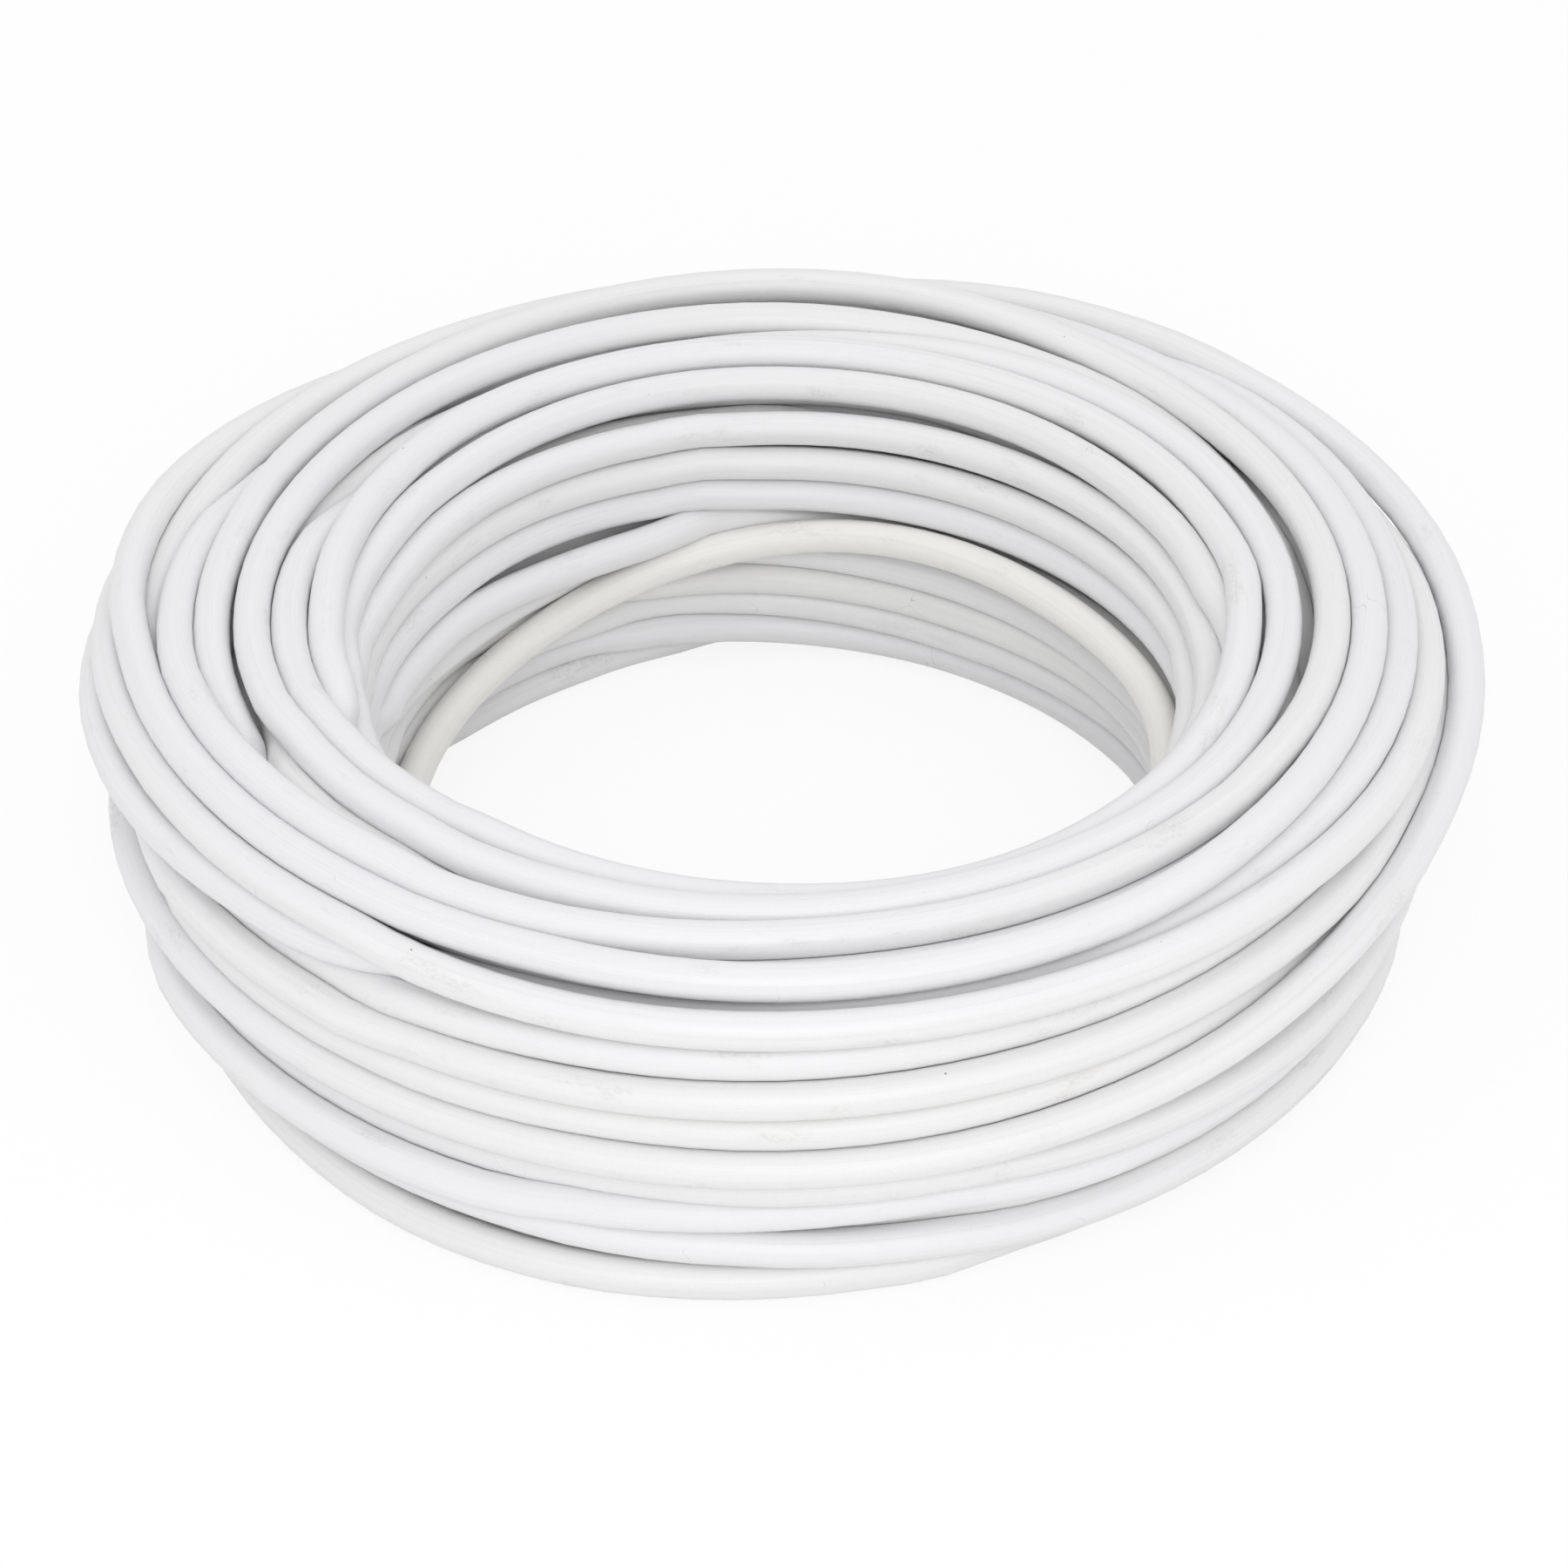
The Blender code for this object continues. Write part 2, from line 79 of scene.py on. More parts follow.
# The turns that show, each list from its first turn on: azimuth, radius and height.
EYE_WALL = {
    0.3: [
        (172, 11.9, 1.5), (150, 11.9, 1.55), (137, 11.89, 1.55), (131, 11.8, 1.58),
        (125, 11.75, 1.6), (116, 11.65, 1.6), (111, 11.6, 1.6), (105, 11.7, 1.45),
        (101, 11.75, 1.25), (97, 11.75, 1.05), (90, 11.8, 0.85), (84, 11.92, 0.74),
        (75, 11.95, 0.65), (66, 11.88, 0.56), (60, 11.89, 0.5), (50, 11.78, 0.5), (38, 11.72, 0.5),
        (28, 11.85, 0.5), (18, 11.85, 0.5),
    ],
    1.3: [
        (165, 11.75, 2.3), (140, 11.7, 2.4), (128, 11.64, 2.4), (121, 11.58, 2.4),
        (111, 11.52, 2.38), (105, 11.64, 2.25), (99, 11.82, 2.0), (92, 11.82, 1.8),
        (84, 11.85, 1.7), (77, 11.79, 1.6), (68, 11.69, 1.5), (60, 11.6, 1.45), (50, 11.53, 1.45),
        (42, 11.56, 1.45), (36, 11.73, 1.45), (28, 11.83, 1.45), (20, 11.92, 1.45),
    ],
    2.3: [
        (165, 11.75, 3.2), (140, 11.7, 3.25), (125, 11.45, 3.3), (114, 11.37, 3.3),
        (108, 11.4, 3.28), (104, 11.57, 3.15), (99, 11.68, 2.95), (92, 11.64, 2.75),
        (84, 11.62, 2.62), (73, 11.6, 2.5), (65, 11.62, 2.4), (51, 11.5, 2.4), (42, 11.43, 2.4),
        (34, 11.48, 2.4), (25, 11.56, 2.4),
    ],
    3.3: [
        (170, 11.75, 4.05), (163, 11.55, 4.1), (158, 11.42, 4.1), (153, 11.3, 4.1),
        (146, 11.07, 4.1), (140, 11.12, 4.1), (133, 11.3, 4.1), (124, 11.55, 4.05),
        (110, 11.7, 3.95), (98, 11.75, 3.75), (92, 11.67, 3.65), (79, 11.66, 3.48),
        (68, 11.56, 3.38), (60, 11.51, 3.3), (50, 11.4, 3.3), (41, 11.29, 3.3), (30, 11.27, 3.3),
        (22, 11.34, 3.3),
    ],
    4.3: [
        (173, 11.6, 4.85), (165, 11.38, 4.95), (158, 11.2, 5.05), (152, 11.1, 5.0),
        (146, 11.0, 5.0), (139, 10.87, 5.0), (133, 10.75, 5.0), (126, 10.67, 5.0),
        (120, 10.58, 5.0), (114, 10.5, 5.02), (109, 10.6, 5.1), (104, 10.95, 5.15),
        (98, 11.45, 5.0), (90, 11.78, 4.7),
    ],
    6.3: [
        (180, 11.9, 5.7), (173, 11.72, 5.75), (166, 11.56, 5.85), (158, 11.45, 6.0),
        (150, 11.33, 6.1), (144, 11.44, 6.2), (136, 11.4, 6.22), (127, 11.4, 6.15),
        (115, 11.6, 6.05), (108, 11.57, 5.95), (100, 11.49, 5.9), (90, 11.42, 5.88),
        (79, 11.45, 5.9), (68, 11.46, 5.9), (54, 11.4, 5.9), (45, 11.41, 5.9), (35, 11.47, 5.9),
        (27, 11.48, 5.9), (18, 11.57, 5.9), (9, 11.62, 5.9), (0, 11.69, 5.9),
    ],
    7.3: [
        (177, 11.9, 6.5), (171, 11.8, 6.55), (164, 11.7, 6.65), (158, 11.6, 6.8), (149, 11.5, 7.0),
        (140, 11.52, 7.1), (133, 11.6, 7.1), (121, 11.5, 7.0), (112, 11.58, 6.92),
        (105, 11.65, 6.85), (97, 11.67, 6.8), (87, 11.61, 6.8), (76, 11.59, 6.8), (66, 11.6, 6.8),
        (47, 11.49, 6.8), (36, 11.54, 6.8), (25, 11.52, 6.8), (17, 11.56, 6.8), (11, 11.65, 6.8),
        (3, 11.74, 6.8),
    ],
    8.3: [
        (180, 12.05, 7.35), (174, 11.95, 7.35), (169, 11.85, 7.4), (162, 11.75, 7.5),
        (156, 11.68, 7.65), (147, 11.6, 7.85), (139, 11.6, 8.0), (132, 11.57, 8.05),
        (126, 11.56, 8.0), (115, 11.82, 7.95), (105, 11.89, 7.85), (94, 11.95, 7.85),
        (80, 11.96, 7.85), (69, 12.0, 7.85), (50, 11.9, 7.85), (35, 11.85, 7.85), (21, 11.83, 7.85),
        (9, 11.85, 7.85), (3, 11.9, 7.83), (356, 11.87, 7.78), (349, 11.78, 7.7), (340, 11.62, 7.6),
    ],
    # the last two before they come into sight on the left
    8.1: [
        (248, 11.3, 7.0), (225, 11.45, 6.75), (213, 11.6, 6.55), (203, 11.75, 6.5),
        (192, 11.95, 6.85),
    ],
    9.1: [
        (250, 11.3, 7.9), (236, 11.35, 7.8), (225, 11.4, 7.65), (213, 11.55, 7.5),
        (203, 11.75, 7.4), (196, 11.95, 7.5), (189, 12.03, 7.85),
    ],
    # a turn of the pile's floor that looks out under the wall
    18.4: [
        (152, 11.95, 0.5), (142, 11.93, 0.5), (132, 11.83, 0.5), (120, 11.77, 0.5),
        (108, 11.77, 0.5), (103, 11.85, 0.5), (97, 12.2, 0.5),
    ],
}
ON_TOP_FIRST = {
    9.3: [
        (182, 12.1, 8.12), (177, 12.13, 8.2), (170, 12.08, 8.3), (161, 12.07, 8.45),
        (148, 12.1, 8.7), (140, 12.22, 8.8), (133, 12.4, 8.82), (127, 12.5, 8.8), (120, 12.68, 8.8),
        (113, 12.86, 8.8), (108, 12.97, 8.8), (99, 13.0, 8.8), (89, 12.87, 8.8), (80, 12.78, 8.8),
        (71, 12.82, 8.8), (54, 12.55, 8.8), (37, 12.22, 8.8), (26, 12.18, 8.75), (18, 12.15, 8.75),
        (12, 12.1, 8.7), (6, 11.95, 8.65),
    ],
    10.3: [
        (189, 12.15, 8.78), (183, 12.2, 9.05), (177, 12.22, 9.18), (170, 12.3, 9.2),
        (162, 12.45, 9.2), (152, 12.93, 9.2), (146, 13.15, 9.2), (135, 13.55, 9.2),
        (122, 13.8, 9.2), (110, 13.95, 9.2), (90, 14.1, 9.2), (79, 13.8, 9.2), (56, 13.65, 9.2),
        (43, 13.5, 9.2), (35, 13.3, 9.2), (25, 13.15, 9.2), (15, 12.9, 9.2), (3, 12.5, 9.2),
        (354, 12.45, 9.2), (346, 12.38, 9.12), (337, 12.22, 9.0), (322, 12.12, 8.82),
        (306, 11.92, 8.67), (297, 11.8, 8.62), (282, 11.58, 8.65), (271, 11.45, 8.7),
        (259, 11.55, 8.8), (243, 11.7, 8.85), (228, 11.8, 8.9), (218, 12.05, 8.95),
        (209, 12.4, 9.0), (203, 12.65, 9.0), (194, 12.9, 9.0), (188, 13.1, 9.05), (182, 13.3, 9.1),
        (176, 13.45, 9.1), (170, 13.5, 9.1), (164, 13.65, 9.1), (157, 13.75, 9.0),
    ],
}
ON_TOP_SECOND = {
    26.6: [
        (85, 14.9, 8.8), (75, 14.85, 9.05), (64, 14.8, 9.2), (59, 14.8, 9.2), (47, 14.7, 9.2),
        (32, 14.35, 9.2), (22, 14.15, 9.2), (12, 13.9, 9.2), (3, 13.7, 9.2), (355, 13.55, 9.2),
        (347, 13.4, 9.2), (340, 13.2, 9.2), (329, 12.95, 9.2), (316, 12.8, 9.2), (303, 12.5, 9.2),
        (286, 12.4, 9.2), (271, 12.4, 9.2), (260, 12.55, 9.2), (250, 12.65, 9.2), (239, 12.85, 9.2),
        (226, 12.95, 9.2), (219, 13.1, 9.2), (211, 13.35, 9.2), (200, 13.65, 9.2), (195, 13.8, 9.2),
        (188, 14.05, 9.2), (183, 14.25, 9.2), (177, 14.4, 9.2), (170, 14.55, 9.2),
        (163, 14.65, 9.2), (152, 14.8, 9.2), (142, 15.1, 9.2), (135, 15.4, 9.2), (129, 15.6, 9.2),
        (118, 15.7, 9.2), (108, 15.75, 9.2), (99, 15.95, 9.2), (90, 16.0, 9.2), (80, 15.85, 9.15),
        (71, 15.7, 9.0),
    ],
}
ON_TOP_THIRD = {
    42.2: [
        (196, 14.95, 8.7), (188, 15.3, 8.9), (180, 15.47, 9.05), (175, 15.58, 9.1),
        (170, 15.68, 9.1), (165, 15.78, 9.1), (160, 15.9, 9.1), (155, 16.05, 9.1),
        (149, 16.25, 9.1), (144, 16.38, 9.05), (137, 16.6, 9.0), (131, 16.72, 9.0),
        (127, 16.95, 9.0), (120, 17.35, 9.0), (115, 17.6, 9.0), (110, 17.77, 9.0),
        (106, 17.95, 9.08), (90, 18.0, 9.12), (81, 18.05, 9.17), (73, 17.65, 9.17),
        (63, 17.0, 9.12), (52, 16.5, 9.1), (39, 16.0, 9.15), (23, 15.65, 9.2), (10, 15.3, 9.2),
        (3, 15.05, 9.2), (356, 14.9, 9.2), (350, 14.7, 9.2), (345, 14.5, 9.2), (335, 14.2, 9.2),
        (326, 14.0, 9.2), (319, 13.8, 9.2), (312, 13.7, 9.2), (301, 13.45, 9.2), (280, 13.35, 9.15),
        (271, 13.45, 9.1), (261, 13.65, 9.1), (252, 13.85, 9.1), (242, 14.1, 9.1), (225, 14.6, 9.1),
        (219, 14.85, 9.1), (212, 15.1, 9.1), (203, 15.45, 9.1), (190, 16.05, 9.1), (180, 16.4, 9.1),
        (170, 16.6, 9.05), (161, 16.7, 8.9), (154, 16.7, 8.7),
    ],
}
OUTER_WALL = {
    51.0: [
        (290, 15.9, 0.5), (278, 16.07, 0.5), (270, 16.33, 0.5), (263, 16.5, 0.5), (255, 16.65, 0.5),
        (247, 16.87, 0.5), (239, 17.05, 0.5), (230, 16.95, 0.5), (221, 16.5, 0.5),
        (214, 16.15, 0.5), (206, 16.05, 0.5), (197, 16.5, 0.5), (184, 17.0, 0.5), (178, 17.2, 0.5),
    ],
    52.0: [
        (298, 16.45, 3.2), (286, 16.1, 3.0), (270, 16.0, 2.7), (263, 16.2, 2.7), (251, 16.6, 2.65),
        (244, 16.85, 2.6),
    ],
    52.8: [
        (345, 17.25, 4.3), (330, 17.3, 3.9), (318, 17.25, 3.75), (309, 16.95, 3.6),
        (293, 16.5, 3.7), (285, 16.4, 3.65), (270, 16.3, 3.5), (255, 16.2, 3.4), (238, 16.2, 3.2),
        (228, 16.3, 3.1), (216, 16.3, 3.0), (209, 16.45, 3.0), (201, 16.85, 2.9), (196, 17.2, 2.9),
    ],
    53.9: [
        (325, 16.45, 6.05), (321, 16.45, 6.0), (312, 16.4, 5.9), (302, 16.4, 5.8), (285, 16.4, 5.6),
        (270, 16.3, 5.4), (247, 16.2, 5.2), (229, 16.3, 5.0), (218, 16.55, 4.9), (211, 16.75, 4.8),
        (203, 17.05, 4.7),
    ],
    55.0: [
        (303, 15.75, 7.3), (270, 15.85, 7.3), (250, 15.9, 7.15), (240, 15.88, 6.93),
        (230, 15.83, 6.6), (222, 15.9, 6.35), (213, 16.12, 6.3), (205, 16.48, 6.35),
        (198, 16.88, 6.35),
    ],
    # the next two come up again from under their neighbours
    55.6: [
        (60, 18.5, 8.0), (52, 18.4, 8.35), (46, 18.27, 8.5), (40, 18.12, 8.58), (34, 18.0, 8.6),
        (26, 17.75, 8.6), (19, 17.55, 8.6), (10, 17.2, 8.6), (359, 16.8, 8.6), (352, 16.55, 8.6),
        (346, 16.3, 8.6), (335, 15.9, 8.6), (328, 15.6, 8.6), (322, 15.35, 8.5), (305, 15.0, 8.2),
    ],
    56.1: [
        (262, 14.95, 7.9), (250, 15.0, 7.8), (240, 15.2, 7.65), (230, 15.55, 7.45),
        (222, 16.0, 7.25), (214, 16.55, 7.15), (206, 17.08, 7.1), (199, 17.6, 7.1),
        (192, 18.05, 7.0), (186, 18.5, 7.0), (179, 18.93, 6.9), (173, 19.1, 6.9), (168, 19.12, 6.8),
        (158, 19.1, 6.7), (146, 19.0, 6.6),
    ],
    56.6: [
        (52, 18.5, 7.6), (44, 18.4, 7.6), (34, 18.3, 7.65), (26, 18.27, 7.8), (21, 18.3, 7.8),
        (16, 18.2, 7.8), (12, 18.08, 7.8), (7, 17.85, 7.85), (0, 17.65, 7.9), (352, 17.35, 8.05),
        (345, 17.15, 8.2), (334, 16.8, 8.3), (326, 16.6, 8.3), (320, 16.35, 8.3), (314, 16.2, 8.3),
        (304, 16.05, 8.3), (295, 15.95, 8.3), (286, 15.85, 8.3), (278, 15.85, 8.3),
        (270, 15.85, 8.3), (255, 15.95, 8.2), (246, 15.95, 8.2), (231, 15.95, 8.2),
        (220, 16.1, 8.2), (211, 16.4, 8.2), (202, 16.85, 8.2), (195, 17.25, 8.15),
        (187, 17.85, 8.1), (180, 18.35, 8.0), (174, 18.72, 8.0), (167, 18.92, 8.0),
        (156, 18.95, 7.6), (142, 18.85, 7.25),
    ],
    57.7: [
        (40, 18.9, 6.9), (29, 18.98, 7.05), (24, 18.98, 7.05), (19, 18.8, 7.05), (15, 18.62, 7.05),
        (10, 18.32, 7.05), (6, 18.13, 7.05), (0, 17.85, 7.05), (357, 17.68, 7.0), (353, 17.5, 7.0),
        (347, 17.3, 7.0), (339, 16.9, 6.9), (330, 16.7, 6.85), (320, 16.55, 6.8), (301, 16.5, 6.7),
        (293, 16.4, 6.6), (278, 16.3, 6.5), (270, 16.35, 6.4), (255, 16.25, 6.2), (247, 16.2, 6.1),
        (239, 16.25, 6.0), (229, 16.35, 5.9), (218, 16.65, 5.8), (213, 16.9, 5.7),
        (205, 17.2, 5.65), (200, 17.4, 5.6),
    ],
    59.2: [
        (181, 17.32, 8.3), (177, 17.5, 8.35), (174, 17.6, 8.35), (169, 17.68, 8.35),
        (161, 17.75, 8.5), (154, 17.85, 8.6), (149, 17.93, 8.7), (142, 18.0, 8.75),
        (138, 18.1, 8.8), (132, 18.0, 8.8), (124, 18.07, 8.8), (118, 18.42, 8.6),
        (113, 18.55, 8.55), (106, 18.75, 8.4), (98, 18.8, 8.35), (90, 18.75, 8.4), (84, 18.7, 8.5),
        (78, 18.45, 8.5), (74, 18.25, 8.45), (68, 18.05, 8.5), (59, 17.75, 8.75), (50, 17.45, 8.9),
        (43, 17.2, 9.0), (37, 17.0, 9.0), (30, 16.95, 9.1), (20, 16.6, 9.1), (13, 16.35, 9.1),
        (7, 16.15, 9.15), (356, 15.8, 9.15), (349, 15.65, 9.15), (342, 15.5, 9.15),
        (335, 15.4, 9.1), (330, 15.3, 9.1), (322, 15.2, 9.1), (316, 15.1, 9.1), (304, 15.05, 9.1),
        (295, 14.95, 9.1), (287, 14.9, 9.05), (270, 14.9, 9.0), (262, 14.95, 9.0),
        (245, 14.95, 9.0), (236, 15.0, 9.0), (225, 15.15, 8.95), (217, 15.45, 8.9),
        (211, 15.65, 8.9), (203, 16.05, 8.9), (195, 16.5, 8.9), (188, 17.0, 8.85),
        (182, 17.4, 8.85), (175, 17.95, 8.95), (168, 18.36, 9.0), (162, 18.52, 9.0),
        (157, 18.67, 8.95), (151, 18.87, 8.7), (147, 18.93, 8.45), (143, 18.95, 8.35),
        (139, 18.97, 8.2), (134, 18.92, 8.05), (125, 18.85, 7.85), (118, 18.9, 7.7),
        (106, 18.95, 7.5), (95, 19.1, 7.55), (86, 19.25, 7.8), (77, 19.35, 8.4), (70, 19.3, 8.6),
        (64, 19.15, 8.7), (58, 19.08, 8.65), (50, 19.15, 8.55), (46, 19.2, 8.5), (40, 19.2, 8.45),
        (36, 19.2, 8.42), (31, 19.2, 8.35), (25, 19.35, 8.15), (19, 19.42, 8.0), (12, 19.3, 7.8),
        (7, 19.13, 7.6), (2, 18.85, 7.4), (355, 18.5, 7.15), (348, 18.15, 6.9), (343, 17.95, 6.7),
        (336, 17.8, 6.4), (331, 17.6, 6.2), (322, 17.5, 5.9), (314, 17.35, 5.5), (304, 17.2, 5.2),
        (293, 17.0, 4.9), (285, 16.9, 4.75), (270, 16.7, 4.5), (255, 16.65, 4.4), (248, 16.6, 4.3),
        (238, 16.5, 4.2), (228, 16.6, 4.1), (218, 16.9, 4.0), (210, 17.15, 3.9), (203, 17.43, 3.8),
        (197, 17.65, 3.8), (191, 17.85, 3.85), (185, 18.05, 3.9), (178, 18.2, 4.0),
        (170, 18.3, 4.1),
    ],
    61.8: [
        (345, 16.65, 1.0), (334, 16.6, 1.0), (320, 16.4, 1.0), (308, 16.22, 1.0), (299, 16.25, 1.1),
        (286, 16.3, 1.35), (270, 16.4, 1.6), (263, 16.45, 1.65), (251, 16.4, 1.7),
        (243, 16.6, 1.75), (230, 16.6, 1.7), (210, 16.7, 1.6), (190, 17.2, 1.4), (180, 17.3, 1.1),
        (174, 17.25, 0.8),
    ],
}

# Places that can't be seen, where the cable passes under its neighbours
UNDER_OTHERS = {
    # the wall before it comes into sight on the left
    1.1: [
        (248, 11.4, 1.4), (225, 11.45, 1.45), (213, 11.5, 1.5), (198, 11.7, 1.6), (183, 11.75, 2.0),
    ],
    2.1: [
        (248, 11.4, 2.3), (225, 11.45, 2.3), (213, 11.5, 2.2), (198, 11.65, 2.35),
        (183, 11.75, 2.85),
    ],
    3.1: [
        (248, 11.4, 3.25), (225, 11.45, 3.2), (213, 11.5, 3.05), (198, 11.65, 3.2),
        (184, 11.75, 3.75),
    ],
    4.1: [
        (248, 11.4, 4.2), (225, 11.4, 4.1), (213, 11.45, 3.9), (198, 11.6, 4.05), (183, 11.7, 4.6),
    ],
    6.1: [
        (248, 11.35, 5.1), (225, 11.4, 5.0), (213, 11.5, 4.75), (203, 11.65, 4.75),
        (192, 11.8, 5.1),
    ],
    7.1: [
        (248, 11.35, 6.05), (225, 11.4, 5.9), (213, 11.5, 5.6), (203, 11.65, 5.6),
        (192, 11.85, 6.0),
    ],
    4.9: [
        (330, 11.4, 4.6), (290, 12.0, 4.6), (248, 12.3, 4.65), (225, 12.3, 4.75), (213, 12.35, 4.9),
        (198, 12.5, 5.2), (185, 12.5, 5.5),
    ],
    4.6: [(80, 11.75, 4.6), (60, 11.6, 4.5), (45, 11.4, 4.3), (25, 11.35, 4.25)],
    5.3: [
        (172, 12.5, 5.6), (150, 12.4, 5.4), (130, 12.35, 5.1), (116, 12.3, 5.0), (107, 11.97, 5.0),
        (98, 12.05, 5.1), (90, 12.3, 5.35), (60, 12.35, 5.35), (25, 12.3, 5.3),
    ],
    18.6: [(85, 12.75, 0.5), (60, 12.9, 0.5)],
    6.8: [(345, 11.65, 5.9), (328, 11.3, 5.9)],
    7.8: [(345, 11.75, 6.8), (328, 11.4, 6.8)],
    8.8: [(328, 11.45, 7.55), (300, 11.2, 7.6), (270, 11.1, 7.7)],
    9.8: [
        (352, 12.65, 8.15), (345, 12.7, 8.05), (320, 12.5, 7.9), (300, 12.3, 7.75),
        (270, 12.2, 7.8), (245, 12.3, 7.95), (225, 12.2, 8.0), (213, 12.15, 8.05),
        (203, 12.15, 8.1), (196, 12.2, 8.35),
    ],
    55.9: [(290, 14.9, 7.9), (270, 14.9, 7.9)],
    58.5: [
        (130, 17.3, 6.6), (90, 17.2, 7.3), (40, 16.9, 7.3), (0, 16.5, 7.5), (330, 15.6, 7.4),
        (300, 15.0, 7.0), (270, 14.9, 6.9), (235, 14.8, 7.2), (210, 15.6, 7.9),
    ],
}

# Buried columns of turns, between the stretches on top: the turns that each takes,
# how far across the pile it lies (0 at the eye's wall, 1 at the outer wall) and
# the heights of its first and last turn.
BURIED_COLUMNS = [
    (11.7, 18.3, 1 / 6, 8.0, 0.5),
    (18.8, 26.2, 2 / 6, 0.5, 8.2),
    (27.9, 34.3, 3 / 6, 8.0, 0.5),
    (34.8, 41.9, 4 / 6, 0.5, 8.1),
    (43.7, 50.6, 5 / 6, 6.8, 0.5),
]
BURIED_STATIONS = 12  # planned places in one turn of a buried column

# Where the middle of the first and the last column lie, round the coil
PILE_AZIMUTHS = (-75, -30, 0, 30, 60, 90, 120, 150, 180, 200, 230, 285)
EYE_COLUMN = (10.9, 11.2, 11.5, 11.5, 11.5, 11.8, 11.6, 11.5, 11.9, 11.9, 11.5, 10.9)
OUTER_COLUMN = (16.2, 16.5, 17.5, 17.9, 17.7, 17.6, 17.7, 17.9, 17.8, 17.0, 16.3, 16.2)

# How surely a planned place is known
IN_SIGHT, AT_AN_EDGE, UNDER_A_TURN, BURIED = 1.0, 0.5, 0.3, 0.0
NEXT_PLACE = 0.05  # turns from one place to about where the next is looked for


def turn_at(azimuth, near):
    """How many turns along the cable this azimuth is, next to that many."""
    part = (FIRST_AZIMUTH - azimuth) / 360.0
    return part + round(near - part)


def pile_radius(azimuth, share):
    """The radius this share of the way across the pile."""
    azimuth = (azimuth - PILE_AZIMUTHS[0]) % 360.0 + PILE_AZIMUTHS[0]
    eye = np.interp(azimuth, PILE_AZIMUTHS, EYE_COLUMN)
    outer = np.interp(azimuth, PILE_AZIMUTHS, OUTER_COLUMN)
    return eye + share * (outer - eye)


def counted(stretch, turn):
    """(turn, radius, height) for each place of a stretch that begins near this turn."""
    places = []
    for number, (azimuth, radius, height) in enumerate(stretch):
        found = turn_at(azimuth, turn + NEXT_PLACE if number else turn)
        while number and found < turn:
            found += 1
        turn = found
        places.append((turn, radius, height))
    return places


def planned_points():
    """(turn, radius, height, how surely it is known) along the cable, in order."""
    planned = [
        ((FIRST_AZIMUTH - azimuth) / 360.0, radius, height, IN_SIGHT)
        for azimuth, radius, height in ACROSS_THE_EYE
    ]
    for group in (EYE_WALL, ON_TOP_FIRST, ON_TOP_SECOND, ON_TOP_THIRD, OUTER_WALL, UNDER_OTHERS):
        for first, stretch in group.items():
            known = [IN_SIGHT] * len(stretch)
            known[0] = known[-1] = AT_AN_EDGE
            if group is UNDER_OTHERS:
                known = [UNDER_A_TURN] * len(stretch)
            planned += [(*place, sure) for place, sure in zip(counted(stretch, first), known)]
    for first, last, share, low, high in BURIED_COLUMNS:
        for turn in np.arange(first, last + 1e-6, 1 / BURIED_STATIONS):
            radius = float(pile_radius(FIRST_AZIMUTH - 360 * turn, share))
            height = low + (high - low) * (turn - first) / (last - first)
            planned.append((turn, radius, height, BURIED))
    planned.sort()
    planned += [(*place, IN_SIGHT) for place in counted(BEHIND_THE_COIL, planned[-1][0])]
    return np.array(planned)


def blurred(values, spread):
    """Values along the cable, each averaged with those on either side of it."""
    reach = int(3 * spread)
    weights = np.exp(-0.5 * (np.arange(-reach, reach + 1) / spread) ** 2)
    weights /= weights.sum()
    padded = np.pad(values, ((reach, reach), (0, 0)), mode="edge")
    columns = range(values.shape[1])
    return np.stack([np.convolve(padded[:, n], weights, "valid") for n in columns], axis=1)


SEEN_SOFTENING, BURIED_SOFTENING = 3.0, 6.0  # points that round off the plan's corners
EYE_STRETCH_END = -0.01  # in turns: before this the cable stays as planned
SETTLING_STEPS = 1400
SEARCH_EVERY = 10  # steps between two searches for turns that may touch
NEAR = 1.35  # how near the middles of such turns are, in diameters
SPACING = 1.005  # between the middles of two turns that press on each other
PUSH = 0.55  # the part of an overlap that one step takes away
HOLD, HOLD_LOST = 0.12, 0.6  # how firmly a turn in sight keeps its place; less at last
FREEDOM_LOST = 0.7  # how much less freely a turn in sight moves than a buried one
SINK = 0.0008  # how far a step lets a buried turn sink, at first
STRAIGHTENING = 0.5  # the part of a kink that every second step takes away
FIRST_STIFFNESS, LAST_STIFFNESS = 2.5, 1.6  # points on each side that straighten a bend
STIFFER_UNTIL, STIFF_UNTIL = 0.6, 0.97  # of all the steps
ON_THE_FLOOR = 0.5  # the lowest that a middle line lies
EYE_SLACK = 0.15  # how far a turn out of sight may lean into the eye
SEEN_ENOUGH = 0.3  # above this, a turn in sight may leave the eye's wall


def near_turns(places):
    """The points that lie beside each other on two turns which may touch."""
    ones, others = [], []
    for offset in range(STATIONS, len(places), STATIONS):
        gaps = places[offset:] - places[:-offset]
        near = np.flatnonzero((gaps**2).sum(1) < NEAR**2)
        ones.append(near)
        others.append(near + offset)
    return np.concatenate(ones), np.concatenate(others)


